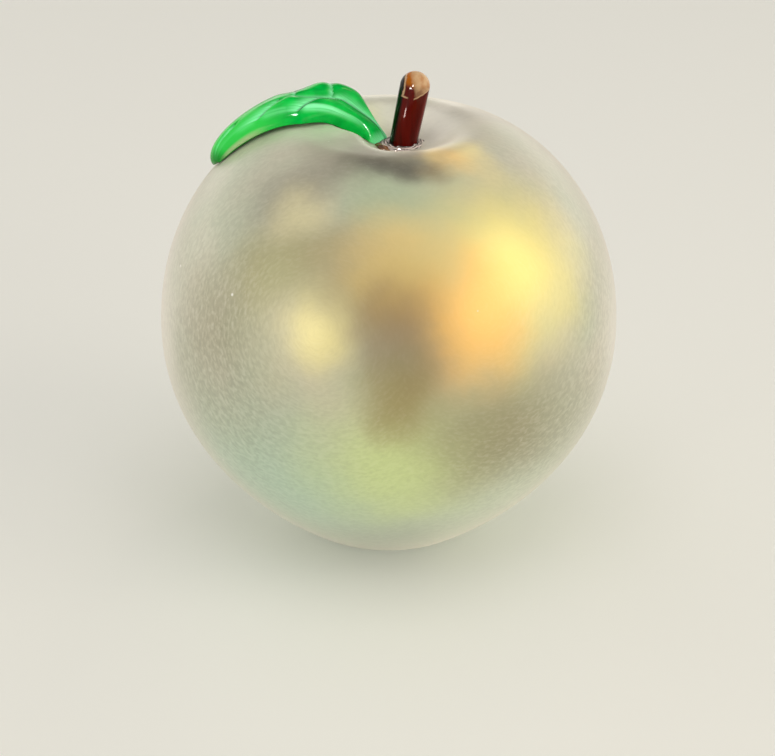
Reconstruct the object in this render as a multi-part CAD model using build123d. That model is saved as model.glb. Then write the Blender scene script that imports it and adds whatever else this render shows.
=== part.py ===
from build123d import *
import os
from math import cos, exp, hypot, pi, radians, sin

# Art glass apple: a blown body, with a drawn stem and a pressed leaf set in cement.
# Millimetres, +Z up, origin at the middle of the foot, on the surface that the apple stands on.
# The leaf lies over the -X shoulder and the stem leans towards +X.

# Blown body, outside
body_diameter = 90.0
belly_height = 42.5
crest_diameter = 34.0
crest_height = 82.8
dimple_depth = 3.9
foot_diameter = 36.8
foot_angle = 35.0
foot_edge_round = 0.8
punt_diameter = 20.0
punt_depth = 1.2

# How far the ends of the body's curves keep their direction
foot_pull = 13.5
belly_pull_down = 21.4
belly_pull_up = 27.0
crest_pull = 8.6
dimple_rim_pull = 6.0
dimple_floor_pull = 12.0

# Blown body, inside
wall_thickness = 4.0
base_thickness = 8.0
neck_thickness = 5.0
cavity_floor_pull = 25.0

# Drawn stem
stem_offset = 2.35
stem_lean = 10.5
stem_foot_diameter = 5.3
stem_tip_diameter = 5.7
stem_length = 14.8
peg_reach = 2.0

# Cement round the stem: an annulus in the hole, that wells up in ripples on the dimple's floor
cement_gap = 1.2
bead_diameter = 9.0
bead_rise = 0.1
ripple_count = 2
ripple_width = 1.3

# Cement under the leaf's root
pad_diameter = 5.4
pad_height = 1.7
pad_x = -2.6
pad_y = -0.4

# Pressed leaf: in plan its midrib sets out from the root towards +Y and swings round to the tip
leaf_root_x = -1.1
leaf_root_y = 0.5
leaf_root_lead_x = -4.5
leaf_root_lead_y = 7.5
leaf_tip_x = -33.3
leaf_tip_y = 2.0
leaf_tip_lead_x = 11.5
leaf_tip_lead_y = 6.3
leaf_width = 17.2
leaf_root_near = 2.4
leaf_root_far = 0.9
leaf_thickness = 4.5
leaf_edge_thickness = 1.6
leaf_clearance = 0.3
leaf_bridge_height = 0.3
leaf_root_lift = 0.7
midrib_depth = 0.8
midrib_width = 1.3

# Shares of the leaf's length: where it is cut off at root and tip, and how its thickness and width run out
leaf_root_cut_share = 0.03
leaf_tip_cut_share = 0.004
leaf_root_taper_share = 0.1
leaf_tip_thinning_share = 0.3
leaf_tip_power = 0.5

# Shares of the leaf's length between which each side swings out from the root to the full width
near_swing_start_share = 0.15
near_swing_end_share = 0.52
far_swing_start_share = 0.08
far_swing_end_share = 0.48

# Side veins, placed by shares of the leaf's length
vein_radius = 0.6
vein_depth = 0.5
vein_pitch_share = 0.17
far_vein_count = 2
far_vein_first_share = 0.40
far_vein_slant_share = 0.03
far_vein_reach_share = 1.12
near_vein_count = 3
near_vein_first_share = 0.37
near_vein_slant_share = 0.19
near_vein_reach_share = 0.85

# How closely a place on a curve is found, as a share of the curve
search_share = 1e-6

belly_radius = body_diameter / 2
crest_radius = crest_diameter / 2
dimple_floor = crest_height - dimple_depth


def at(radius, height):
    return Vector(radius, 0, height)


# The outside of the body, as curves of radius and height: foot to belly, crest to belly, and axis to crest
foot_lead = Vector(foot_pull, 0, 0).rotate(Axis.Y, -foot_angle)
flank = Bezier(
    at(foot_diameter / 2, 0),
    at(foot_diameter / 2, 0) + foot_lead,
    at(belly_radius, belly_height - belly_pull_down),
    at(belly_radius, belly_height),
)
shoulder = Bezier(
    at(crest_radius, crest_height),
    at(crest_radius + crest_pull, crest_height),
    at(belly_radius, belly_height + belly_pull_up),
    at(belly_radius, belly_height),
)
dimple = Bezier(
    at(0, dimple_floor),
    at(dimple_floor_pull, dimple_floor),
    at(crest_radius - dimple_rim_pull, crest_height),
    at(crest_radius, crest_height),
)

# The leaf's midrib in plan, from its root to its tip
leaf_root = Vector(leaf_root_x, leaf_root_y)
leaf_tip = Vector(leaf_tip_x, leaf_tip_y)
midrib = Bezier(
    leaf_root,
    leaf_root + Vector(leaf_root_lead_x, leaf_root_lead_y),
    leaf_tip + Vector(leaf_tip_lead_x, leaf_tip_lead_y),
    leaf_tip,
)

# The stem's own axis, with its origin on the dimple's floor
stem_axis = Plane(
    origin=(stem_offset, 0, dimple_floor),
    x_dir=(cos(radians(stem_lean)), 0, -sin(radians(stem_lean))),
    z_dir=(sin(radians(stem_lean)), 0, cos(radians(stem_lean))),
)


def turned(edges):
    return revolve(make_face(edges), Axis.Z)


def outer_form():
    foot = Line(at(0, 0), flank @ 0)
    axis = Line(dimple @ 0, at(0, 0))
    form = turned([foot, flank, shoulder, dimple, axis])
    foot_edge = form.edges().filter_by(GeomType.CIRCLE).sort_by(Axis.Z)[0]
    return fillet(foot_edge, foot_edge_round)


def cavity():
    roof = crest_height - wall_thickness
    neck = dimple_floor - neck_thickness
    side = belly_radius - wall_thickness
    bowl = Bezier(
        at(0, base_thickness),
        at(cavity_floor_pull, base_thickness),
        at(side, belly_height - belly_pull_down + wall_thickness),
        at(side, belly_height),
    )
    vault = Bezier(
        at(crest_radius, roof),
        at(crest_radius + crest_pull, roof),
        at(side, belly_height + belly_pull_up - wall_thickness),
        at(side, belly_height),
    )
    boss = Bezier(
        at(0, neck),
        at(dimple_floor_pull, neck),
        at(crest_radius - dimple_rim_pull, roof),
        at(crest_radius, roof),
    )
    return turned([bowl, vault, boss, Line(boss @ 0, bowl @ 0)])


def pipe_hole():
    radius = stem_foot_diameter / 2 + cement_gap
    length = 2 * (neck_thickness + dimple_depth)
    return stem_axis * Cylinder(radius, length)


def punt():
    # The ball whose cap is the polished hollow in the foot
    ball_radius = (punt_diameter**2 / 4 + punt_depth**2) / (2 * punt_depth)
    return Pos(0, 0, punt_depth - ball_radius) * Sphere(ball_radius)


def blown_body(form):
    return form - cavity() - pipe_hole() - punt()


def drawn_stem():
    foot_radius = stem_foot_diameter / 2
    tip_radius = stem_tip_diameter / 2
    bottom = -neck_thickness - peg_reach
    round_start = at(tip_radius, stem_length - tip_radius)
    tip = at(0, stem_length)
    outline = [
        Line(at(0, bottom), at(foot_radius, bottom)),
        Line(at(foot_radius, bottom), at(foot_radius, 0)),
        Line(at(foot_radius, 0), round_start),
        TangentArc(round_start, tip, tangent=(0, 0, 1)),
        Line(tip, at(0, bottom)),
    ]
    return stem_axis * turned(outline)


def upper_surface(x, y):
    # The point of the body's upper surface at plan position x, y, and the way that it faces there
    radius = hypot(x, y)
    curve = dimple if radius < crest_radius else shoulder
    low = 0.0
    high = 1.0
    while high - low > search_share:
        middle = (low + high) / 2
        if (curve @ middle).X < radius:
            low = middle
        else:
            high = middle
    outwards = curve % low
    lean = -outwards.Z / radius
    return Vector(x, y, (curve @ low).Z), Vector(x * lean, y * lean, outwards.X)


def leaf_half_width(along, across):
    # A narrow root, a swing out to the full width that differs between the two sides, and a blunt tip
    near = across < 0
    root = leaf_root_near if near else leaf_root_far
    start = near_swing_start_share if near else far_swing_start_share
    end = near_swing_end_share if near else far_swing_end_share
    swing = min(1.0, max(0.0, (along - start) / (end - start)))
    widening = swing**2 * (3 - 2 * swing)
    closing = sin(pi * max(0.5, along)) ** (1 - (1 - leaf_tip_power) * along)
    return (root + (leaf_width / 2 - root) * widening) * closing


def leaf_fullness(along):
    # Share of the full thickness: a thin root, a slow thinning to the tip, and a blunt end
    root = 1 - exp(-along / leaf_root_taper_share)
    thinning = 1 - leaf_tip_thinning_share * along**2
    return root * thinning * (1 - along**16) ** 0.5


def leaf_underside(along):
    # The root stands on its cement, and the stiff leaf bridges the dimple between root and crest
    root = leaf_root_lift * exp(-along / leaf_root_taper_share)
    hollow = leaf_bridge_height * max(0.0, sin(2 * pi * along))
    return leaf_clearance + root + hollow


def leaf_top(along, across):
    # Height of the upper surface over the underside; across runs from -1, near edge, to 1, far edge
    edge = leaf_edge_thickness / 2
    groove = midrib_depth * exp(-((across * leaf_half_width(along, across) / midrib_width) ** 2))
    crown = (leaf_thickness - edge - groove) * (1 - abs(across) ** 3) ** 0.5
    return (edge + crown) * leaf_fullness(along)


def leaf_under(along, across):
    # The underside turns up to meet the crown at the edge
    return leaf_edge_thickness / 2 * across**6 * leaf_fullness(along)


def on_leaf(along, across, height):
    # A point in the leaf's cross-section there, height above its underside, which follows the body
    centre = midrib @ along
    seat, normal = upper_surface(centre.X, centre.Y)
    sideways = (midrib % along).cross(normal).normalized()
    aside = seat + sideways * (across * leaf_half_width(along, across))
    below, _ = upper_surface(aside.X, aside.Y)
    drop = (below - aside).dot(normal)
    return aside + normal * (drop + leaf_underside(along) + height)


def leaf_section(along):
    steps = (-1.0, -0.85, -0.5, -0.2, 0.0, 0.2, 0.5, 0.85, 1.0)
    upper = Spline([on_leaf(along, step, leaf_top(along, step)) for step in steps])
    under = Spline([on_leaf(along, step, leaf_under(along, step)) for step in steps])
    return Wire([upper, under])


def vein(along, slant, side, reach):
    # A round groove that leaves the midrib and runs towards the edge on one side, or past it to notch it
    points = []
    for share in (0.0, 0.5, 1.0):
        there = along + slant * share
        across = reach * share**0.8
        height = leaf_top(there, min(across, 1.0)) + vein_radius - vein_depth
        points.append(on_leaf(there, side * across, height))
    path = ThreePointArc(*points)
    return sweep(Plane(path ^ 0) * Circle(vein_radius), path)


def pressed_leaf():
    # Sections crowd towards both ends, where the leaf closes in small flats
    middle_count = 12
    stations = [(1 - cos(pi * step / middle_count)) / 2 for step in range(2, middle_count)]
    stations = [leaf_root_cut_share] + stations + [1 - leaf_tip_cut_share]
    leaf = Part() + Solid.make_loft([leaf_section(along) for along in stations])
    for number in range(far_vein_count):
        along = far_vein_first_share + number * vein_pitch_share
        leaf -= vein(along, far_vein_slant_share, 1, far_vein_reach_share)
    for number in range(near_vein_count):
        along = near_vein_first_share + number * vein_pitch_share
        leaf -= vein(along, near_vein_slant_share, -1, near_vein_reach_share)
    return leaf


def stem_cement(body, stem):
    hole_radius = stem_foot_diameter / 2 + cement_gap
    plug = pipe_hole() & Pos(0, 0, dimple_floor - neck_thickness / 2) * Cylinder(2 * hole_radius, neck_thickness)
    outer_radius = (bead_diameter - ripple_width) / 2
    inner_radius = stem_foot_diameter / 2
    pitch = (outer_radius - inner_radius) / (ripple_count - 1)
    floor = Pos(stem_offset, 0, dimple_floor + bead_rise)
    cement = plug
    for number in range(ripple_count):
        cement += floor * Torus(outer_radius - number * pitch, ripple_width / 2)
    return cement - stem - body


def leaf_cement(form, leaf):
    # A low dome on the dimple's floor, with the leaf's root sunk in it, stopped by the stem's bead
    pad_radius = pad_diameter / 2
    ball_radius = (pad_radius**2 + pad_height**2) / (2 * pad_height)
    ball = Pos(pad_x, pad_y, dimple_floor + pad_height - ball_radius) * Sphere(ball_radius)
    bead = Pos(stem_offset, 0, dimple_floor) * Cylinder(bead_diameter / 2, 4 * pad_height)
    return ball - form - bead - leaf


form = outer_form()
body = blown_body(form)
stem = drawn_stem()
leaf = pressed_leaf()
ring = stem_cement(body, stem)
pad = leaf_cement(form, leaf)

nodes = {
    "glass_body": body,
    "glass_stem": stem,
    "glass_leaf": leaf,
    "stem_cement": ring,
    "leaf_cement": pad,
}
os.makedirs("parts", exist_ok=True)
for name, piece in nodes.items():
    export_step(piece, f"parts/{name}.step")
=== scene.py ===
import bpy
import math
from mathutils import Matrix, Vector


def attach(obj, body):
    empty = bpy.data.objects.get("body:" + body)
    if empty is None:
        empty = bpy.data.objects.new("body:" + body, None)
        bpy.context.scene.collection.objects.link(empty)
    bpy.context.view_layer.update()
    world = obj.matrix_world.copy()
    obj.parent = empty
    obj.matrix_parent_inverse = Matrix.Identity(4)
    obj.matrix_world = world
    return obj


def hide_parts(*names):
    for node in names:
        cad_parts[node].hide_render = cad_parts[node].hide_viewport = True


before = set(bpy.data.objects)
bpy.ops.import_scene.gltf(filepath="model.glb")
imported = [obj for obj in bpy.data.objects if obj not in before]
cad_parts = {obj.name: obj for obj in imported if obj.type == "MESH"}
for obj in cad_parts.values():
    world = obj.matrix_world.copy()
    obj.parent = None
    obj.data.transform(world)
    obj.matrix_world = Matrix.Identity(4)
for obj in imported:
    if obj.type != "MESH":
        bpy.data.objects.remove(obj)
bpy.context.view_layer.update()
mm = 0.001  # sizes below are in millimetres, Blender works in metres
glassIor = 1.52
resinIor = 1.5
mergeWithin = 0.002
smooth = {"interpolation_type": "SMOOTHSTEP"}  # for a range with an even start and finish
print("frame loaded")


def linear(hexColour):
    # sRGB hex to the linear colour that sockets take
    channels = [int(hexColour[i:i + 2], 16) / 255 for i in (1, 3, 5)]
    return [c / 12.92 if c <= 0.04045 else ((c + 0.055) / 1.055) ** 2.4 for c in channels] + [1.0]


def addNode(tree, kind, inputs, **settings):
    # One node with its settings. An input takes a value, a socket or a node, whose first output is linked.
    node = tree.nodes.new("ShaderNode" + kind)
    for name, value in settings.items():
        setattr(node, name, value)
    for socket, value in inputs.items():
        if isinstance(value, bpy.types.Node):
            value = value.outputs[0]
        if isinstance(value, bpy.types.NodeSocket):
            tree.links.new(value, node.inputs[socket])
        else:
            node.inputs[socket].default_value = value
    return node


def newMaterial(name):
    # An empty material, its tree and the piece's own coordinates
    material = bpy.data.materials.new(name)
    material.use_nodes = True
    tree = material.node_tree
    tree.nodes.clear()
    return material, tree, addNode(tree, "TexCoord", {}).outputs["Object"]


def place(piece, material, node):
    # Finish a piece: its one material, the body it rides on and the solid that it stands for
    piece.data.materials.clear()
    piece.data.materials.append(material)
    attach(piece, "root")
    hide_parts(node)
    print(piece.name, len(piece.data.polygons), "faces")


def newBall(name, segments, rings):
    # A round primitive of radius 1, to be shaped
    bpy.ops.object.select_all(action="DESELECT")
    bpy.ops.mesh.primitive_uv_sphere_add(segments=segments, ring_count=rings, radius=1.0)
    bpy.context.object.name = name
    return bpy.context.object


def closeMesh():
    # Turn the active piece's faces outwards and shade them smooth
    bpy.ops.object.mode_set(mode="EDIT")
    bpy.ops.mesh.select_all(action="SELECT")
    bpy.ops.mesh.normals_make_consistent(inside=False)
    bpy.ops.object.mode_set(mode="OBJECT")
    bpy.ops.object.shade_smooth()


def spinProfile(name, knots, steps, resolution):
    # A half outline of Bezier knots (place, handle before, handle after) turned round the Z axis
    bpy.ops.object.select_all(action="DESELECT")
    bpy.ops.curve.primitive_bezier_curve_add()
    piece = bpy.context.object
    piece.name = name
    piece.data.dimensions = "3D"
    spline = piece.data.splines[0]
    spline.resolution_u = resolution
    spline.bezier_points.add(len(knots) - len(spline.bezier_points))
    for point, (spot, before, after) in zip(spline.bezier_points, knots):
        point.handle_left_type = "FREE"
        point.handle_right_type = "FREE"
        point.co = Vector((spot[0], 0, spot[1])) * mm
        point.handle_left = Vector((before[0], 0, before[1])) * mm
        point.handle_right = Vector((after[0], 0, after[1])) * mm
    bpy.ops.object.convert(target="MESH")
    bpy.ops.object.mode_set(mode="EDIT")
    bpy.ops.mesh.select_all(action="SELECT")
    bpy.ops.mesh.spin(steps=steps, angle=2 * math.pi, center=(0, 0, 0), axis=(0, 0, 1))
    bpy.ops.mesh.select_all(action="SELECT")
    bpy.ops.mesh.remove_doubles(threshold=mergeWithin * mm)
    bpy.ops.object.mode_set(mode="OBJECT")
    closeMesh()
    return piece


def bezierPoints(knots, samples):
    # Points of one curve from its start, two handles and end
    k0, k1, k2, k3 = [Vector(k) for k in knots]
    return [k0 * (1 - t) ** 3 + k1 * 3 * t * (1 - t) ** 2 + k2 * 3 * t * t * (1 - t) + k3 * t ** 3
            for t in [i / samples for i in range(samples + 1)]]


# Camera, fitted to the body's outline in the photograph
view = {
    "place": (0.0, -392.8, 216.9),
    "aim": (-0.13, 0.0, 29.4),
    "roll": 0.55,  # degrees
    "lens": 100.4,
    "sensor": 36.0,
}
cameraData = bpy.data.cameras.new("camera")
cameraData.lens = view["lens"]
cameraData.sensor_width = view["sensor"]
camera = bpy.data.objects.new("camera", cameraData)
bpy.context.scene.collection.objects.link(camera)
sight = (Vector(view["aim"]) - Vector(view["place"])).to_track_quat("-Z", "Y").to_matrix().to_4x4()
roll = Matrix.Rotation(math.radians(view["roll"]), 4, "Z")
camera.matrix_world = Matrix.Translation(Vector(view["place"]) * mm) @ sight @ roll
bpy.context.scene.camera = camera
print("camera set")

# Blown body: the half outline from the hollow under the foot, over the belly, to the dimple's floor
apple = {
    "foot": 18.4,
    "footAngle": 35.0,
    "footPull": 13.5,
    "footRound": 0.8,
    "hollow": 10.0,
    "hollowDepth": 1.2,
    "hollowPull": 5.0,
    "hollowLip": (1.5, 0.36),  # the handle at its edge: inwards and up
    "belly": 45.0,
    "bellyHeight": 42.5,
    "bellyPullDown": 21.4,
    "bellyPullUp": 27.0,
    "crest": 17.0,
    "crestHeight": 82.8,
    "crestPull": 8.6,
    "dimpleFloor": 78.9,
    "rimPull": 6.0,
    "floorPull": 12.0,
    # the dimple isn't quite round: its side is drawn in towards the stem, most of all at the front left
    "drawnIn": 0.85,
    "drawnTurn": 58.0,  # degrees from the front towards the left
    "drawnSpread": 34.0,
    "samples": 400,
    "steps": 256,
    "resolution": 40,
}
footLead = Vector((math.cos(math.radians(apple["footAngle"])), math.sin(math.radians(apple["footAngle"]))))
footEdge = Vector((apple["foot"], 0))


def flankPoints():
    # The outline from the foot to the belly
    a = apple
    belly = (a["belly"], a["bellyHeight"])
    pull = (a["belly"], a["bellyHeight"] - a["bellyPullDown"])
    return bezierPoints((footEdge, footEdge + footLead * a["footPull"], pull, belly), a["samples"])


def upperPoints():
    # The outline from the axis to the crest, and from the crest to the belly
    a = apple
    dimple = [(0, a["dimpleFloor"]), (a["floorPull"], a["dimpleFloor"]),
              (a["crest"] - a["rimPull"], a["crestHeight"]), (a["crest"], a["crestHeight"])]
    shoulder = [(a["crest"], a["crestHeight"]), (a["crest"] + a["crestPull"], a["crestHeight"]),
                (a["belly"], a["bellyHeight"] + a["bellyPullUp"]), (a["belly"], a["bellyHeight"])]
    return [bezierPoints(curve, a["samples"])[:-1] for curve in (dimple, shoulder)]


flankLine = flankPoints()
dimpleLine, shoulderLine = upperPoints()
upperLine = dimpleLine + shoulderLine


def onBody(azimuth, height):
    # The place on the body at an azimuth, in degrees round from the front, and a height
    if height < apple["bellyHeight"]:
        radius = [p for p in flankLine if p.y <= height][-1].x
    else:
        radius = min(shoulderLine, key=lambda p: abs(p.y - height)).x
    turn = math.radians(azimuth)
    return Vector((radius * math.sin(turn), -radius * math.cos(turn), height))


def profileAt(radius):
    # Height of the upper outline at a radius, and its direction there
    low, high = 0, len(upperLine) - 1
    while high - low > 1:
        middle = (low + high) // 2
        if upperLine[middle].x < radius:
            low = middle
        else:
            high = middle
    step = upperLine[high] - upperLine[low]
    return upperLine[low].y + step.y * (radius - upperLine[low].x) / step.x, step.normalized()


def swellAt(x, y):
    # How far the dimple's side rises over the round outline at a place in plan
    a = apple
    radius = math.hypot(x, y)
    if radius >= a["crest"]:
        return 0.0
    turn = math.degrees(math.atan2(-x, -y)) - a["drawnTurn"]
    turn = (turn + 180) % 360 - 180
    drawn = 1 + a["drawnIn"] * math.exp(-(turn / a["drawnSpread"]) ** 2)
    return profileAt(min(a["crest"], radius * drawn))[0] - profileAt(radius)[0]


def surfaceAt(x, y):
    # The body's upper surface at a place in plan, and the way it faces
    radius = math.hypot(x, y)
    height, step = profileAt(radius)
    lean = -step.y / max(radius, 1e-6)
    return Vector((x, y, height + swellAt(x, y))), Vector((x * lean, y * lean, step.x))


def makeBody():
    a = apple
    inner = (a["foot"] - a["footRound"], 0.0)
    outer = footEdge + footLead * a["footRound"]
    lipInwards, lipUp = a["hollowLip"]
    knots = [
        ((0, a["hollowDepth"]), (0, a["hollowDepth"]), (a["hollowPull"], a["hollowDepth"])),
        ((a["hollow"], 0), (a["hollow"] - lipInwards, lipUp), (a["hollow"], 0)),
        (inner, inner, footEdge),
        (outer, footEdge, footEdge + footLead * a["footPull"]),
        ((a["belly"], a["bellyHeight"]), (a["belly"], a["bellyHeight"] - a["bellyPullDown"]),
         (a["belly"], a["bellyHeight"] + a["bellyPullUp"])),
        ((a["crest"], a["crestHeight"]), (a["crest"] + a["crestPull"], a["crestHeight"]),
         (a["crest"] - a["rimPull"], a["crestHeight"])),
        ((0, a["dimpleFloor"]), (a["floorPull"], a["dimpleFloor"]), (0, a["dimpleFloor"])),
    ]
    piece = spinProfile("blown_body", knots, a["steps"], a["resolution"])
    for vertex in piece.data.vertices:
        if vertex.co.z > a["bellyHeight"] * mm:
            vertex.co.z += swellAt(vertex.co.x / mm, vertex.co.y / mm) * mm
    return piece


# Iridised satin glass: hot blown glass fumed with metal salts. The skin scatters light like satin and its
# thickness, which the fuming leaves uneven, tints it pearl, gold, orange and green.
# Its colour also holds painted light: painted highlights and glows in gold, orange and yellow, painted rims
# at the sides and patches of painted shade.
skin = {
    "pearl": "#d2cdb8",
    "sage": "#c4c8b0",
    "driftSize": 18.0,  # of the clouds of sage in the pearl
    "driftRange": (0.35, 0.65),
    "under": "#cfdcc2",  # the belly's lower half
    "underFrom": 50.0,
    "underTo": 14.0,
    "wanderSize": 14.0,
    "wander": 5.0,
    "roughness": 0.42,
    "satinSpread": 0.06,  # how far the peel varies the roughness
    "metallic": 0.40,
    "coat": 0.6,
    "coatRoughness": 0.3,
    "sheen": 1.0,
    "sheenRoughness": 0.35,
    "sheenTint": "#fff6ec",
    "grain": 0.52,  # orange peel, from crest to crest
    "grainLength": 1.2,  # it is drawn out in arcs
    "grainHighlightCentres": [(-17.0, 58.0), (24.0, 62.0)],  # round the places where the two main highlights fall: azimuth and height
    "grainSides": (-6.0, 14.0),  # the left arcs give way to the right ones between these
    "grainWarp": 0.4,
    "grainDepth": 0.09,
    "paintedPeelShade": ((0.55, 0.3), 0.16, "#000000"),  # painted shade in the peel's dips: noise values, strength and colour
    "paintedPeelGlints": ((0.5, 0.75), 0.22, "#fffdf4"),  # a painted glint on its crests, with the same columns
    "frontFrom": 10.0,  # the peel is calmer this near the front and the back
    "frontTo": 32.0,
    "frontShare": 0.5,
    "calmFrom": 52.0,  # the peel is blown smooth from here up
    "calmTo": 74.0,
    "calmShare": 0.55,
    # and round these places: azimuth, height, where it starts to calm, where it is calm, the share left
    "smoothSpots": [(26.0, 62.0, 34.0, 14.0, 0.25), (-17.0, 58.0, 22.0, 6.0, 0.6)],
    "specks": 9.0,  # spacing of the pale specks
    "speckSize": 0.04,  # as a share of the spacing
    "speckle": "#f4f2ea",
    # lustre tints and painted light: painted highlights and glows (gold, orange, yellow), painted shade (the
    # brown smudge, the dull sage patches), painted rims at the two sides. Azimuth in degrees from the front,
    # height, reach, strength, colour
    "lustreAndPaintedLight": [
        (0, 78, 18, 0.75, "#b6c8a6"),
        (-50, 44, 30, 0.45, "#b4b196"),
        (-45, 60, 18, 0.55, "#a8a07e"),
        (-16, 69, 14, 0.5, "#a48e64"),
        (-32, 68, 17, 0.45, "#b8ae5c"),
        (-30, 22, 34, 0.6, "#b8dcc4"),
        (3, 32, 28, 0.8, "#deee9e"),
        (0, 8, 20, 0.6, "#a4b4a0"),
        (28, 38, 25, 0.85, "#a09870"),
        (-88, 44, 30, 0.85, "#fbf6e8"),
        (88, 42, 25, 0.7, "#fbf8ee"),
        (52, 34, 22, 0.5, "#a8a486"),
        (0, 69, 17, 0.85, "#fcdc8c"),
        (36, 67, 28, 0.9, "#ffee88"),
        (21, 60, 20, 0.95, "#ffc868"),
        (-19, 58, 22, 0.4, "#ece4b4"),
        (-16, 58, 12, 0.9, "#fff2ac"),
        (-31, 76, 10, 0.75, "#eee4b4"),
        (1, 62, 11, 0.5, "#aa8460"),
        (5, 52, 14, 0.55, "#a0805a"),
        (2, 43, 11, 0.45, "#a48c5a"),
        (4, 47, 14, 0.5, "#a08e4c"),
    ],
    # in the dimple and on its lip, all painted light and shade: the wall and the skin under the leaf painted
    # lighter, a band of painted shade along the front lip, a painted gold spot of light right of the stem.
    # Place in plan, reach, strength, colour
    "paintedDimpleLightAndShade": [
        (-2, 9, 16, 0.9, "#fffdf2"),
        (9, 5, 13, 0.95, "#fffaf0"),
        (9, 12, 9, 0.95, "#fffaf0"),
        (17, 9, 9, 0.45, "#a49e92"),
        (-8.5, -4, 7, 0.9, "#f4fae2"),
        (-15, -5, 10, 0.9, "#f2f6e0"),
        (-4, 8, 9, 0.6, "#f6f0bc"),
        (-21, -21, 9, 0.35, "#8c8676"),
        (-13, -21, 9, 0.55, "#8c8676"),
        (-6, -19.5, 8, 0.65, "#787264"),
        (-5, -14.5, 6, 0.5, "#857e6f"),
        (2, -18, 10, 0.6, "#786e60"),
        (-1.5, -21, 6, 0.7, "#4e4a42"),
        (3.5, -21, 6, 0.75, "#4e483e"),
        (8.5, -20, 6, 0.7, "#8c7044"),
        (7.5, -14.5, 5.5, 0.95, "#ffe092"),
        (12, -16, 7.5, 0.95, "#ffda8c"),
        (15, -12.5, 7, 0.8, "#fff0b0"),
        (18, -17, 8, 0.5, "#f4e4a8"),
    ],
    # patches of lustre in the same tones go on round the back
    "backBlooms": ["#ffe08c", "#cfe8c8", "#ffcf80", "#e0eeb0", "#f4d9a0"],
    "backFrom": 125.0,
    "backPitch": 27.5,
    "backHeights": (62.0, 30.0),
    "backReach": 24.0,
    "backStrength": 0.7,
}


def allBlooms():
    # Each bloom's place on the body, reach, strength and colour
    s = skin
    lustreAndPaintedLight = [(onBody(azimuth, height), *rest) for azimuth, height, *rest in s["lustreAndPaintedLight"]]
    lustreAndPaintedLight += [(surfaceAt(x, y)[0], *rest) for x, y, *rest in s["paintedDimpleLightAndShade"]]
    for number, tone in enumerate(s["backBlooms"]):
        height = s["backHeights"][number % len(s["backHeights"])]
        spot = onBody(s["backFrom"] + number * s["backPitch"], height)
        lustreAndPaintedLight.append((spot, s["backReach"], s["backStrength"], tone))
    return lustreAndPaintedLight


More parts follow.
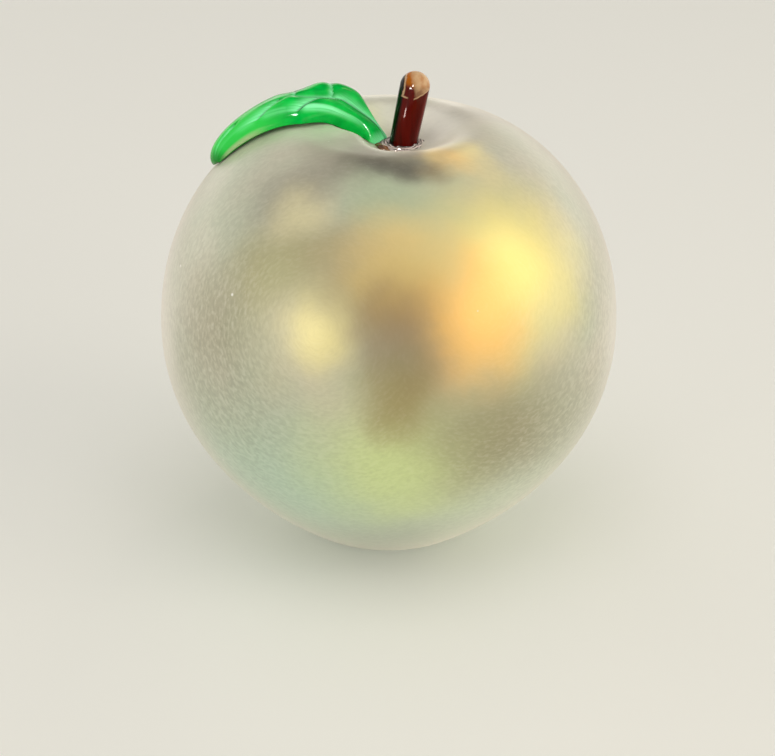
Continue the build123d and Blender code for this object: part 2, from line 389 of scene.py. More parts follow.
def satinSkin():
    s = skin
    material, tree, coords = newMaterial("iridised satin glass, blown and fumed")
    axes = addNode(tree, "SeparateXYZ", {"Vector": coords})
    drift = addNode(tree, "TexNoise", {"Vector": coords, "Scale": 1 / (s["driftSize"] * mm), "Detail": 2.0})
    tint = addNode(tree, "MapRange", {
        "Value": drift, "From Min": s["driftRange"][0], "From Max": s["driftRange"][1]})
    low = addNode(tree, "MapRange", {
        "Value": axes.outputs["Z"], "From Min": s["underFrom"] * mm, "From Max": s["underTo"] * mm}, **smooth)
    layers = [(tint, s["sage"]), (low, s["under"])]
    # The fumed skin thickens unevenly, so each bloom's border wanders, and the painted highlights and shade
    # wander with it
    noise = addNode(tree, "TexNoise", {"Vector": coords, "Scale": 1 / (s["wanderSize"] * mm), "Detail": 3.0})
    shift = addNode(tree, "VectorMath", {0: noise.outputs["Color"], 1: (0.5, 0.5, 0.5)}, operation="SUBTRACT")
    spread = addNode(tree, "VectorMath", {0: shift, "Scale": 2 * s["wander"] * mm}, operation="SCALE")
    loose = addNode(tree, "VectorMath", {0: coords, 1: spread}, operation="ADD")
    for spot, reach, strength, tone in allBlooms():
        away = addNode(tree, "VectorMath", {0: loose, 1: spot * mm}, operation="DISTANCE")
        amount = addNode(tree, "MapRange", {
            "Value": away.outputs["Value"], "From Min": reach * mm, "From Max": 0.0, "To Max": strength},
            interpolation_type="SMOOTHERSTEP")
        layers.append((amount, tone))
    # Fine orange peel, drawn out in arcs round the two main highlights, the way a glint circles a light on
    # such a skin; its dips get painted shade and its crests a painted glint
    squeezed = addNode(tree, "VectorMath", {0: coords, "Scale": s["grain"] / s["grainLength"]},
                       operation="SCALE")
    heart = Vector((0, 0, apple["bellyHeight"]))
    fromHeart = addNode(tree, "VectorMath", {0: coords, 1: heart * mm}, operation="SUBTRACT")
    outward = addNode(tree, "VectorMath", {0: fromHeart}, operation="NORMALIZE")
    peels = []
    for azimuth, height in s["grainHighlightCentres"]:
        axis = (onBody(azimuth, height) - heart).normalized()
        facing = addNode(tree, "VectorMath", {0: outward, 1: axis}, operation="DOT_PRODUCT")
        turn = addNode(tree, "Math", {0: facing.outputs["Value"]}, operation="ARCCOSINE")
        arcs = addNode(tree, "VectorMath", {0: turn, 1: axis * apple["belly"] * mm, 2: squeezed},
                       operation="MULTIPLY_ADD")
        peels.append(addNode(tree, "TexNoise", {
            "Vector": arcs, "Scale": 1 / (s["grain"] * mm), "Detail": 2.0, "Distortion": s["grainWarp"]}))
    side = addNode(tree, "MapRange", {
        "Value": axes.outputs["X"], "From Min": s["grainSides"][0] * mm,
        "From Max": s["grainSides"][1] * mm}, **smooth)
    peel = addNode(tree, "Mix", {0: side, 2: peels[0], 3: peels[1]}, data_type="FLOAT")
    # It is calmer towards the top, round the smooth spots and in the middle of the front
    calm = addNode(tree, "MapRange", {
        "Value": axes.outputs["Z"], "From Min": s["calmFrom"] * mm, "From Max": s["calmTo"] * mm,
        "To Min": 1.0, "To Max": s["calmShare"]}, **smooth)
    others = []
    for azimuth, height, start, full, left in s["smoothSpots"]:
        away = addNode(tree, "VectorMath", {0: coords, 1: onBody(azimuth, height) * mm}, operation="DISTANCE")
        others.append(addNode(tree, "MapRange", {
            "Value": away.outputs["Value"], "From Min": start * mm, "From Max": full * mm,
            "To Min": 1.0, "To Max": left}, **smooth))
    aside = addNode(tree, "Math", {0: axes.outputs["X"]}, operation="ABSOLUTE")
    others.append(addNode(tree, "MapRange", {
        "Value": aside, "From Min": s["frontFrom"] * mm, "From Max": s["frontTo"] * mm,
        "To Min": s["frontShare"], "To Max": 1.0}, **smooth))
    for other in others:
        calm = addNode(tree, "Math", {0: calm, 1: other}, operation="MULTIPLY")
    bump = addNode(tree, "Bump", {"Strength": calm, "Distance": s["grainDepth"] * mm, "Height": peel})
    for (start, full), strength, tone in (s["paintedPeelShade"], s["paintedPeelGlints"]):
        grain = addNode(tree, "MapRange", {
            "Value": peel, "From Min": start, "From Max": full, "To Max": strength})
        layers.append((addNode(tree, "Math", {0: grain, 1: calm}, operation="MULTIPLY"), tone))
    seed = addNode(tree, "TexVoronoi", {"Vector": coords, "Scale": 1 / (s["specks"] * mm)})
    speck = addNode(tree, "MapRange", {
        "Value": seed.outputs["Distance"], "From Min": s["speckSize"], "From Max": s["speckSize"] / 2})
    layers.append((speck, s["speckle"]))
    colour = linear(s["pearl"])
    for amount, tone in layers:
        colour = addNode(tree, "Mix", {0: amount, 6: colour, 7: linear(tone)}, data_type="RGBA").outputs[2]
    satin = addNode(tree, "MapRange", {
        "Value": peel, "To Min": s["roughness"] - s["satinSpread"],
        "To Max": s["roughness"] + s["satinSpread"]})
    shader = addNode(tree, "BsdfPrincipled", {
        "Base Color": colour, "Roughness": satin, "Metallic": s["metallic"], "IOR": glassIor,
        "Coat Weight": s["coat"], "Coat Roughness": s["coatRoughness"], "Sheen Weight": s["sheen"],
        "Sheen Roughness": s["sheenRoughness"], "Sheen Tint": linear(s["sheenTint"]), "Normal": bump})
    addNode(tree, "OutputMaterial", {"Surface": shader})
    return material


body = makeBody()
place(body, satinSkin(), "glass_body")

# Drawn stem: a glass rod with a rounded tip, in its own axis from its peg's end, then leant over
stem = {
    "offset": 2.35,
    "lean": 10.5,
    "footRadius": 2.65,
    "footPull": 1.0,
    "tipRadius": 2.85,
    "tipPull": 3.0,
    "tipHandle": 0.5523,  # of a quarter circle, as a share of its radius
    "length": 14.8,
    "pegLength": 7.0,
    "steps": 96,
    "resolution": 24,
}
stemFoot = Vector((stem["offset"], 0, apple["dimpleFloor"]))


def makeStem():
    s = stem
    arc = s["tipRadius"] * s["tipHandle"]
    start = s["length"] - s["tipRadius"]
    middle = (0, -s["pegLength"])
    corner = (s["footRadius"], -s["pegLength"])
    knots = [
        (middle, middle, middle),
        (corner, corner, corner),
        ((s["footRadius"], 0), (s["footRadius"], -s["footPull"]), (s["footRadius"], s["footPull"])),
        ((s["tipRadius"], start), (s["tipRadius"], start - s["tipPull"]), (s["tipRadius"], start + arc)),
        ((0, s["length"]), (arc, s["length"]), (0, s["length"])),
    ]
    piece = spinProfile("drawn_stem", knots, s["steps"], s["resolution"])
    lean = Matrix.Rotation(math.radians(s["lean"]), 4, "Y")
    piece.data.transform(Matrix.Translation(stemFoot * mm) @ lean)
    return piece


# Red-brown glass, drawn and fire-polished: a wet gloss over a deep body, with painted shade darkening its
# left side nearly to blackness, and a cap of amber glass on the tip that ran down in a ragged pale border,
# with a painted beige reflection of a soft light over its top
rodGlass = {
    "deep": "#240200",
    "red": "#680b03",
    "redRange": (0.15, 0.55),  # noise values between which a cord turns red
    # painted shade down the rod's left side
    "paintedShade": "#0a0000",
    "paintedShadeFrom": -0.58,  # sideways, as a share of the radius
    "paintedShadeTo": -0.76,
    "border": "#d6b08a",
    "amber": "#b4620e",
    "paintedTanReflection": "#d6b086",
    "cordWidth": 1.6,
    "cordStretch": 0.12,
    "capFrom": 10.2,  # along the rod, at its left
    "capRise": 1.9,  # from its middle to its right
    "capSide": -0.72,  # sideways, as a share of the radius
    "raggedSize": 1.5,
    "ragged": 0.7,
    "borderWidth": 0.3,
    "gap": -0.16,  # the border is broken here, where red glass runs up into the cap
    "gapHalf": 0.28,
    "amberFrom": 12.0,  # along the rod
    "amberTo": 13.2,
    "tanFrom": 1.62,  # sideways plus a share of the height, so that the painted reflection leans over the amber
    "tanTo": 1.90,
    "tanLean": 0.15,
    "tanRagged": 0.5,
    "tanPatches": (0.62, 0.42, 0.55),  # noise values: where it is thin, where it is full, and the thin share
    "tanThin": (10.6, 13.2, 0.45),  # the same along the rod
    "waveStrength": 0.3,
    "waveDepth": 0.08,
    "roughness": 0.08,
    "specular": 0.14,
}


def brownGlass():
    g = rodGlass
    material, tree, coords = newMaterial("red-brown glass, drawn and fire-polished")
    drawn = addNode(tree, "Mapping", {"Vector": coords, "Scale": (1.0, 1.0, g["cordStretch"])})
    cords = addNode(tree, "TexNoise", {"Vector": drawn, "Scale": 1 / (g["cordWidth"] * mm), "Detail": 2.0})
    red = addNode(tree, "MapRange", {
        "Value": cords, "From Min": g["redRange"][0], "From Max": g["redRange"][1]})
    # Places on the rod, in millimetres: sideways from its axis and along it
    lean = math.radians(stem["lean"])
    fromFoot = addNode(tree, "VectorMath", {0: coords, 1: stemFoot * mm}, operation="SUBTRACT")
    axes = ((math.cos(lean), 0, -math.sin(lean)), (math.sin(lean), 0, math.cos(lean)))
    sideways, along = [addNode(tree, "VectorMath", {0: fromFoot, 1: Vector(axis) / mm},
                               operation="DOT_PRODUCT").outputs["Value"] for axis in axes]
    aside = addNode(tree, "Math", {0: sideways, 1: stem["tipRadius"]}, operation="DIVIDE")
    # Painted shade: the rod darkens nearly to blackness down its left side
    paintedShade = addNode(tree, "MapRange", {
        "Value": aside, "From Min": g["paintedShadeFrom"], "From Max": g["paintedShadeTo"]}, **smooth)
    # How far inside the cap a place is: over its lower border and right of its left border
    right = addNode(tree, "Math", {0: aside, 1: 0.0}, operation="MAXIMUM")
    lower = addNode(tree, "Math", {0: right, 1: -g["capRise"], 2: along}, operation="MULTIPLY_ADD")
    lower = addNode(tree, "Math", {0: lower, 1: g["capFrom"]}, operation="SUBTRACT")
    left = addNode(tree, "Math", {0: sideways, 1: g["capSide"] * stem["tipRadius"]}, operation="SUBTRACT")
    inside = addNode(tree, "Math", {0: lower, 1: left}, operation="MINIMUM")
    ragged = addNode(tree, "TexNoise", {"Vector": coords, "Scale": 1 / (g["raggedSize"] * mm), "Detail": 2.0})
    uneven = addNode(tree, "Math", {0: ragged, 1: 0.5}, operation="SUBTRACT")
    inside = addNode(tree, "Math", {0: uneven, 1: g["ragged"], 2: inside}, operation="MULTIPLY_ADD")
    within = addNode(tree, "MapRange", {"Value": inside, "From Max": g["borderWidth"]})
    high = addNode(tree, "MapRange", {
        "Value": along, "From Min": g["amberFrom"], "From Max": g["amberTo"]}, **smooth)
    # The painted reflection of a soft light on the rounded top leans over the amber, thins out in patches and
    # down the rod
    leaning = addNode(tree, "Math", {0: along, 1: g["tanLean"], 2: aside}, operation="MULTIPLY_ADD")
    leaning = addNode(tree, "Math", {0: uneven, 1: g["tanRagged"], 2: leaning}, operation="MULTIPLY_ADD")
    over = addNode(tree, "MapRange", {
        "Value": leaning, "From Min": g["tanFrom"], "From Max": g["tanTo"]}, **smooth)
    for value, (thin, full, share) in ((ragged, g["tanPatches"]), (along, g["tanThin"])):
        thick = addNode(tree, "MapRange", {
            "Value": value, "From Min": thin, "From Max": full, "To Min": share})
        over = addNode(tree, "Math", {0: over, 1: thick}, operation="MULTIPLY")
    fromBorder = addNode(tree, "Math", {0: inside}, operation="ABSOLUTE")
    edge = addNode(tree, "MapRange", {
        "Value": fromBorder, "From Min": g["borderWidth"], "From Max": 0.0}, **smooth)
    fromGap = addNode(tree, "Math", {0: aside, 1: g["gap"]}, operation="SUBTRACT")
    fromGap = addNode(tree, "Math", {0: fromGap}, operation="ABSOLUTE")
    whole = addNode(tree, "MapRange", {
        "Value": fromGap, "From Min": g["gapHalf"] / 2, "From Max": g["gapHalf"]}, **smooth)
    amounts = {"red": red, "paintedShade": paintedShade}
    for tone, one, other in (("amber", within, high), ("paintedTanReflection", within, over), ("border", edge, whole)):
        amounts[tone] = addNode(tree, "Math", {0: one, 1: other}, operation="MULTIPLY")
    colour = linear(g["deep"])
    for tone, amount in amounts.items():
        colour = addNode(tree, "Mix", {0: amount, 6: colour, 7: linear(g[tone])}, data_type="RGBA").outputs[2]
    wave = addNode(tree, "Bump", {
        "Strength": g["waveStrength"], "Distance": g["waveDepth"] * mm, "Height": cords})
    shader = addNode(tree, "BsdfPrincipled", {
        "Base Color": colour, "Roughness": g["roughness"], "IOR": glassIor,
        "Specular IOR Level": g["specular"], "Normal": wave})
    addNode(tree, "OutputMaterial", {"Surface": shader})
    return material


rod = makeStem()
place(rod, brownGlass(), "glass_stem")

# Cement round the stem: clear resin that welled up out of the hole and set in ripples
cement = {
    "inner": 2.3,
    "outer": 4.5,
    "sunk": 0.5,
    "crests": [(2.95, 0.72), (3.6, 0.7), (4.15, 0.5)],  # radius and height of each ripple
    "troughs": [0.36, 0.34],  # heights between them
    "pull": 0.17,
    "wallPull": 0.2,
    "wobble": 0.12,
    "lobes": (7, 11),
    "steps": 144,
    "resolution": 14,
}


def makeRing():
    c = cement
    start = (c["inner"], -c["sunk"])
    knots = [(start, start, (c["inner"], c["wallPull"]))]
    for number, (radius, height) in enumerate(c["crests"]):
        knots.append(((radius, height), (radius - c["pull"], height), (radius + c["pull"], height)))
        if number < len(c["troughs"]):
            middle = (radius + c["crests"][number + 1][0]) / 2
            low = c["troughs"][number]
            knots.append(((middle, low), (middle - c["pull"] / 2, low), (middle + c["pull"] / 2, low)))
    knots.append(((c["outer"], 0), (c["outer"], c["wallPull"]), (c["outer"], -c["wallPull"])))
    knots.append((start, (c["outer"], -c["sunk"]), start))
    piece = spinProfile("cement_ring", knots, c["steps"], c["resolution"])
    coarse, fine = c["lobes"]
    for vertex in piece.data.vertices:
        turn = math.atan2(vertex.co.y, vertex.co.x)
        swell = math.sin(coarse * turn) + math.sin(fine * turn + vertex.co.xy.length / mm)
        if vertex.co.z > 0:
            vertex.co.z *= 1 + c["wobble"] * swell
    piece.data.transform(Matrix.Translation(stemFoot * mm))
    return piece


# Clear resin cement, run and set: wet-looking and nearly colourless over the skin, with dark lines where the
# ripples' flanks turn the light away
resin = {
    "clear": "#e8d8d4",
    "paintedShadeLine": "#180e0c",
    "spacing": 0.6,
    "looseness": 0.5,  # how far the lines stray, as a share of their spacing
    "breakSize": 0.9,
    "lineFrom": 0.1,  # heights of the ripple's wave between which the line darkens
    "lineTo": 0.7,
    "breakFrom": 0.3,  # noise values between which a line breaks off
    "breakTo": 0.48,
    "roughness": 0.07,
}


def clearCement():
    g = resin
    material, tree, coords = newMaterial("clear resin cement, run and set")
    axis = Vector((stem["offset"], 0, 0)) * mm
    fromAxis = addNode(tree, "VectorMath", {0: coords, 1: axis}, operation="SUBTRACT")
    flat = addNode(tree, "VectorMath", {0: fromAxis, 1: (1, 1, 0)}, operation="MULTIPLY")
    radius = addNode(tree, "VectorMath", {0: flat}, operation="LENGTH")
    breaks = addNode(tree, "TexNoise", {"Vector": coords, "Scale": 1 / (g["breakSize"] * mm), "Detail": 2.0})
    stray = g["looseness"] * g["spacing"] * mm
    loose = addNode(tree, "Math", {0: breaks, 1: stray, 2: radius.outputs["Value"]}, operation="MULTIPLY_ADD")
    turns = addNode(tree, "Math", {0: loose, 1: 2 * math.pi / (g["spacing"] * mm)}, operation="MULTIPLY")
    wave = addNode(tree, "Math", {0: turns}, operation="SINE")
    dark = addNode(tree, "MapRange", {"Value": wave, "From Min": g["lineFrom"], "From Max": g["lineTo"]})
    patchy = addNode(tree, "MapRange", {
        "Value": breaks, "From Min": g["breakFrom"], "From Max": g["breakTo"]})
    amount = addNode(tree, "Math", {0: dark, 1: patchy}, operation="MULTIPLY")
    colour = addNode(tree, "Mix", {0: amount, 6: linear(g["clear"]), 7: linear(g["paintedShadeLine"])}, data_type="RGBA")
    shader = addNode(tree, "BsdfPrincipled", {
        "Base Color": colour.outputs[2], "Roughness": g["roughness"], "IOR": resinIor})
    addNode(tree, "OutputMaterial", {"Surface": shader})
    return material


ring = makeRing()
place(ring, clearCement(), "stem_cement")

# Bead of amber cement: it ran out from under the leaf's root and set round the edge of the ring
bead = {
    "turn": 214.0,  # degrees round the stem from +X
    "halfTurn": 26.0,
    "radius": 4.8,
    "halfWidth": 1.0,
    "height": 0.7,
    "sunk": 0.25,
    "wobble": 0.14,
    "sideWaves": 5.0,
    "topWaves": (7.0, 2.0),  # along and across
    "segments": 48,
    "rings": 32,
}


def makeBead():
    b = bead
    piece = newBall("cement_bead", b["segments"], b["rings"])
    wavesAlong, wavesAcross = b["topWaves"]
    for vertex in piece.data.vertices:
        across, along, up = vertex.co
        turn = math.radians(b["turn"] + b["halfTurn"] * along)
        radius = b["radius"] + b["halfWidth"] * across * (1 + b["wobble"] * math.sin(b["sideWaves"] * along))
        x = stem["offset"] + radius * math.cos(turn)
        y = radius * math.sin(turn)
        seat, _ = surfaceAt(x, y)
        swell = b["height"] * (1 + b["wobble"] * math.sin(wavesAlong * along + wavesAcross * across))
        vertex.co = Vector((x, y, seat.z + (up * swell if up > 0 else up * b["sunk"]))) * mm
    closeMesh()
    return piece


# Amber resin cement, dripped and set: a wet bead, brown where it is thick and pale at its feathered edge
drip = {
    "brown": "#54301c",
    "amber": "#8c5c38",
    "edge": "#cbb69e",
    "cloud": 0.8,
    "cloudRange": (0.38, 0.6),
    "edgeTo": 0.6,  # over the dimple's floor
    "roughness": 0.1,
}


def amberCement():
    g = drip
    material, tree, coords = newMaterial("amber resin cement, dripped and set")
    cloud = addNode(tree, "TexNoise", {"Vector": coords, "Scale": 1 / (g["cloud"] * mm), "Detail": 2.0})
    share = addNode(tree, "MapRange", {
        "Value": cloud, "From Min": g["cloudRange"][0], "From Max": g["cloudRange"][1]})
    axes = addNode(tree, "SeparateXYZ", {"Vector": coords})
    floor = apple["dimpleFloor"]
    thin = addNode(tree, "MapRange", {
        "Value": axes.outputs["Z"], "From Min": (floor + g["edgeTo"]) * mm, "From Max": floor * mm})
    colour = linear(g["brown"])
    for amount, tone in ((share, "amber"), (thin, "edge")):
        colour = addNode(tree, "Mix", {0: amount, 6: colour, 7: linear(g[tone])}, data_type="RGBA").outputs[2]
    shader = addNode(tree, "BsdfPrincipled", {
        "Base Color": colour, "Roughness": g["roughness"], "IOR": resinIor})
    addNode(tree, "OutputMaterial", {"Surface": shader})
    return material


# Pressed leaf: a round primitive whose rings become the leaf's cross-sections from root to tip
leaf = {
    "root": (-1.1, 0.5),
    "rootLead": (-4.5, 7.5),
    "tip": (-33.3, 2.0),
    "tipLead": (11.5, 6.3),
    "width": 17.2,
    "thickness": 4.5,
    "edge": 1.6,
    "clearance": 0.3,
    "nearClearance": 0.05,
    "bridge": 0.3,
    "rootLift": 0.7,
    "sunkShare": 0.5,  # how much of the dimple's drawn-in side it is sunk behind
    "tipCut": 0.002,  # shares of the length
    "rootTaper": 0.1,
    "rootRound": 0.035,
    "rootBlunt": 0.75,
    "rootNear": 2.9,  # half widths of the root on the near and the far side
    "rootFar": 0.9,
    "nearSwing": (0.20, 0.55),  # between these shares each side swings out to the full width
    "farSwing": (0.03, 0.43),
    "narrowFrom": 0.5,  # from here on it narrows towards the tip
    "tipThinning": 0.2,
    "tipPower": (0.5, 0.32),  # on the near and the far side
    "endPower": 16,  # how suddenly the tip, the crown's sides and the underside's edge turn
    "crownPower": 3,
    "underPower": 6,
    "midribDepth": 0.8,
    "midribWidth": 1.3,
    "midribAcross": (0.1, -0.2),  # it crosses over to the near side between these shares of the length
    "midribTurn": (0.33, 0.43),
    "midribFade": (0.48, 0.57),
    # side veins: where they leave the midrib, how far they slant towards the tip, how far across they reach
    "farVeins": [(0.38, 0.03, 1.2), (0.53, 0.03, 1.2)],
    "nearVeins": [(0.39, 0.17, 0.92), (0.57, 0.25, 0.84), (0.80, 0.25, 0.52)],
    "veinBend": 1.25,
    "veinFade": 0.85,  # a vein starts to fade at this share of its reach
    "veinStart": (0.12, 0.24),  # a near vein starts this far across
    "leastHalf": 0.5,
    "leastFade": 0.05,
    "creaseDepth": 1.0,
    "steepSide": 0.35,  # each lobe ends steeply over the next one, which rises slowly from under it
    "gentleSide": (0.6, 2.4),  # by the midrib and by the edge
    "farSide": 0.45,  # the far lobes end steeply on both sides
    "farDepth": 0.2,
    "farLine": 0.35,  # strength of the far creases' lines
    "midribLine": 0.6,
    "lineWidth": 0.32,
    # painted highlights: beside the midrib on the far side, and along the shoulder of each near lobe
    "farBand": (1.0, 0.5),
    "shoulderRise": (0.66, 0.72),  # across, from the midrib to the edge
    "shoulderFall": (0.80, 0.94),
    "shoulders": [  # along: where each band rises and falls, and its strength
        ((0.02, 0.40), (0.47, 0.53), 1.0),
        ((0.56, 0.60), (0.70, 0.76), 0.35),
        ((0.76, 0.80), (0.84, 0.90), 0.3),
    ],
    "nearPuff": 0.3,
    "rootPuff": 1.6,  # the far lobe by the root swells towards its end, and the next one dies away
    "rootSwell": (0.10, 0.33),
    "midPuff": 1.35,
    "midSink": 1.0,
    "midSwell": (0.42, 0.54),
    "endSwell": (0.54, 0.62),
    "puffWidth": 0.6,
    "puffLoss": 0.3,  # share of the swelling that a crease takes away
    "samples": 400,
    "rings": 240,
    "stepsPerRing": 4,
    "segments": 160,
}


def evenSteps(points, count):
    # Points and directions at even distances along a line of many points
    lengths = [0.0]
    for before, after in zip(points, points[1:]):
        lengths.append(lengths[-1] + (after - before).length)
    steps = []
    i = 0
    for step in range(count + 1):
        goal = lengths[-1] * step / count
        while i < len(points) - 2 and lengths[i + 1] < goal:
            i += 1
        share = (goal - lengths[i]) / (lengths[i + 1] - lengths[i])
        steps.append((points[i].lerp(points[i + 1], share), (points[i + 1] - points[i]).normalized()))
    return steps, lengths[-1]


def swing(value, ends):
    # From 0 to 1 between two ends, with an even start and finish
    share = min(1.0, max(0.0, (value - ends[0]) / (ends[1] - ends[0])))
    return share * share * (3 - 2 * share)


def leafHalfWidth(along, across):
    # A narrow root, a swing out to the full width and a blunt tip
    f = leaf
    root, ends = (f["rootNear"], f["nearSwing"]) if across < 0 else (f["rootFar"], f["farSwing"])
    half = root + (f["width"] / 2 - root) * swing(along, ends)
    blunt = f["tipPower"][0 if across < 0 else 1]
    half *= math.sin(math.pi * max(f["narrowFrom"], min(along, 1.0))) ** (1 - (1 - blunt) * along)
    short = max(0.0, 1 - along / f["rootRound"])
    return half * math.sqrt(1 - f["rootBlunt"] * short ** 2)


def reliefAt(along, across, half, length):
    # At a place on the leaf: distance to the nearest crease, depth of the creases, how much painted shade it
    # has along a crease and how much painted highlight beside it
    f = leaf
    lasting = 1 - swing(along, f["midribFade"])
    turned = swing(along, f["midribTurn"])
    start, finish = f["midribAcross"]
    aside = (across - start - (finish - start) * turned) * half
    isFar = aside > 0
    nearest = abs(aside) if lasting > 0 else f["width"]
    depth = f["midribDepth"] * lasting * math.exp(-(aside / f["midribWidth"]) ** 2)
    paintedShadeLine = f["midribLine"] * lasting * math.exp(-(aside / f["lineWidth"]) ** 2)
    pale = 0.0
    if isFar:
        wide, thin = f["farBand"]
        pale = lasting * math.exp(-(aside / (wide + (thin - wide) * turned)) ** 2)
    else:
        level = swing(-across, f["shoulderRise"]) * (1 - swing(-across, f["shoulderFall"]))
        for rise, fall, strength in f["shoulders"]:
            pale = max(pale, strength * level * swing(along, rise) * (1 - swing(along, fall)))
    for start, slant, reach in f["farVeins" if isFar else "nearVeins"]:
        share = abs(across) ** f["veinBend"]
        fade = 1 - swing(abs(across), (f["veinFade"] * reach, reach))
        if not isFar:
            fade *= swing(abs(across), f["veinStart"])
        lean = math.atan2(length * slant, max(half, f["leastHalf"]))
        away = (along - start - slant * share) * length * math.cos(lean)
        gentle = f["gentleSide"][0] + (f["gentleSide"][1] - f["gentleSide"][0]) * share
        if isFar:
            gentle = f["farSide"]
        nearest = min(nearest, abs(away) / max(fade, f["leastFade"]))
        deep = f["farDepth" if isFar else "creaseDepth"]
        depth = max(depth, deep * fade * math.exp(-abs(away) / (gentle if away > 0 else f["steepSide"])))
        paintedShadeLine = max(paintedShadeLine, fade * (f["farLine"] if isFar else 1.0) * math.exp(-(away / f["lineWidth"]) ** 2))
        if away > 0:
            pale = max(pale, fade * math.exp(-(away / gentle) ** 2))
    return nearest, depth, paintedShadeLine, pale


def puffAt(along, across, nearest):
    # How far the lobes swell at a place on the upper face
    f = leaf
    puff = f["nearPuff"]
    start, slant, _ = f["farVeins"][0]
    if across >= 0 and along < start + slant * across ** f["veinBend"]:
        puff = f["rootPuff"] * swing(along, f["rootSwell"])
    elif across >= 0:
        puff = f["midPuff"] - (f["midPuff"] + f["midSink"]) * swing(along, f["midSwell"])
        puff += f["midSink"] * swing(along, f["endSwell"])
    return puff * abs(across) * (1 - f["puffLoss"] * math.exp(-(nearest / f["puffWidth"]) ** 2))


def leafSeat(x, y):
    # The surface that the leaf lies on, and the way it faces
    seat, normal = surfaceAt(x, y)
    seat.z -= leaf["sunkShare"] * swellAt(x, y)
    return seat, normal


def makeLeaf():
    f = leaf
    piece = newBall("pressed_leaf", f["segments"], f["rings"])
    root = Vector(f["root"])
    tip = Vector(f["tip"])
    midrib = (root, root + Vector(f["rootLead"]), tip + Vector(f["tipLead"]), tip)
    steps, length = evenSteps(bezierPoints(midrib, f["samples"]), f["rings"] * f["stepsPerRing"])
    edge = f["edge"] / 2
    marks = {"paintedShadeLine": [], "pale": [], "along": [], "across": []}
    places = []
    for vertex in piece.data.vertices:
        turn = math.acos(max(-1.0, min(1.0, vertex.co.z)))
        along = (1 - f["tipCut"]) * turn / math.pi
        around = math.hypot(vertex.co.x, vertex.co.y)
        across = vertex.co.x / around if around > 1e-6 else 0.0
        isTop = vertex.co.y >= 0
        half = leafHalfWidth(along, across)
        taper = math.exp(-along / f["rootTaper"])
        full = (1 - taper) * (1 - f["tipThinning"] * along ** 2)
        full *= math.sqrt(max(0.0, 1 - along ** f["endPower"]))
        nearest, depth, paintedShadeLine, pale = reliefAt(along, across, half, length)
        if isTop:
            crown = f["thickness"] - edge - depth + puffAt(along, across, nearest)
            height = (edge + crown * math.sqrt(max(0.0, 1 - abs(across) ** f["crownPower"]))) * full
        else:
            height = edge * across ** f["underPower"] * full
        centre, heading = steps[min(round(along * (len(steps) - 1)), len(steps) - 1)]
        seat, normal = leafSeat(centre.x, centre.y)
        sideways = Vector((heading.x, heading.y, 0)).cross(normal).normalized()
        aside = seat + sideways * (across * half)
        below, _ = leafSeat(aside.x, aside.y)
        under = f["clearance"] + f["rootLift"] * taper + f["bridge"] * max(0.0, math.sin(2 * math.pi * along))
        under += (f["nearClearance"] - under) * max(0.0, -across)
        places.append((aside + normal * ((below - aside).dot(normal) + under + height)) * mm)
        marks["paintedShadeLine"].append(paintedShadeLine if isTop else 0.0)
        marks["pale"].append(pale if isTop else 0.0)
        marks["along"].append(along)
        marks["across"].append(across)
    for name, numbers in marks.items():
        piece.data.attributes.new(name, "FLOAT", "POINT").data.foreach_set("value", numbers)
    for vertex, spot in zip(piece.data.vertices, places):
        vertex.co = spot
    closeMesh()
    return piece


# Green opal glass, pressed and fire-polished: a little cloudy inside, with fine cords along its length, under
# a wet gloss.
# Light-green bands along the lobes' shoulders and beside the midrib are painted highlights, and the dark
# strokes down the creases painted shade
pressed = {
    "deep": "#009c38",
    "green": "#00c848",
    "cloud": 4.0,
    "cloudRange": (0.35, 0.65),
    "tip": "#32ca4c",  # the lighter glass towards the tip
    "tipFrom": 0.52,
    "tipTo": 0.82,
    "end": "#1a8c2c",
    "endFrom": 0.95,
    "milkyAndHighlight": "#8af8b0",
    "crease": "#02401a",
    "lineStrength": 0.95,
    "rootPale": 0.8,  # the stalk-like root is lighter too: partly its own cloudy glass, partly painted light on its end, which faces away from the lamps
    "rootTo": 0.06,
    "paintedBodyReflection": "#a4c68a",  # painted reflection of the pale body in the near edge by the tip
    "oliveFrom": (0.72, -0.955),  # along and across
    "oliveTo": (0.86, -1.0),
    "cordWidth": 0.035,  # as a share of the half width
    "cordLength": 0.25,  # as a share of the length
    "cordRange": (0.3, 0.7),
    "cords": (0.55, 1.25),  # how far the cords thin and thicken the pale bands
    "roughness": 0.1,
    "specular": 0.1,
    "milk": 0.1,
    "milkRadius": (0.4, 1.0, 0.5),
    "milkDepth": 1.0,
}


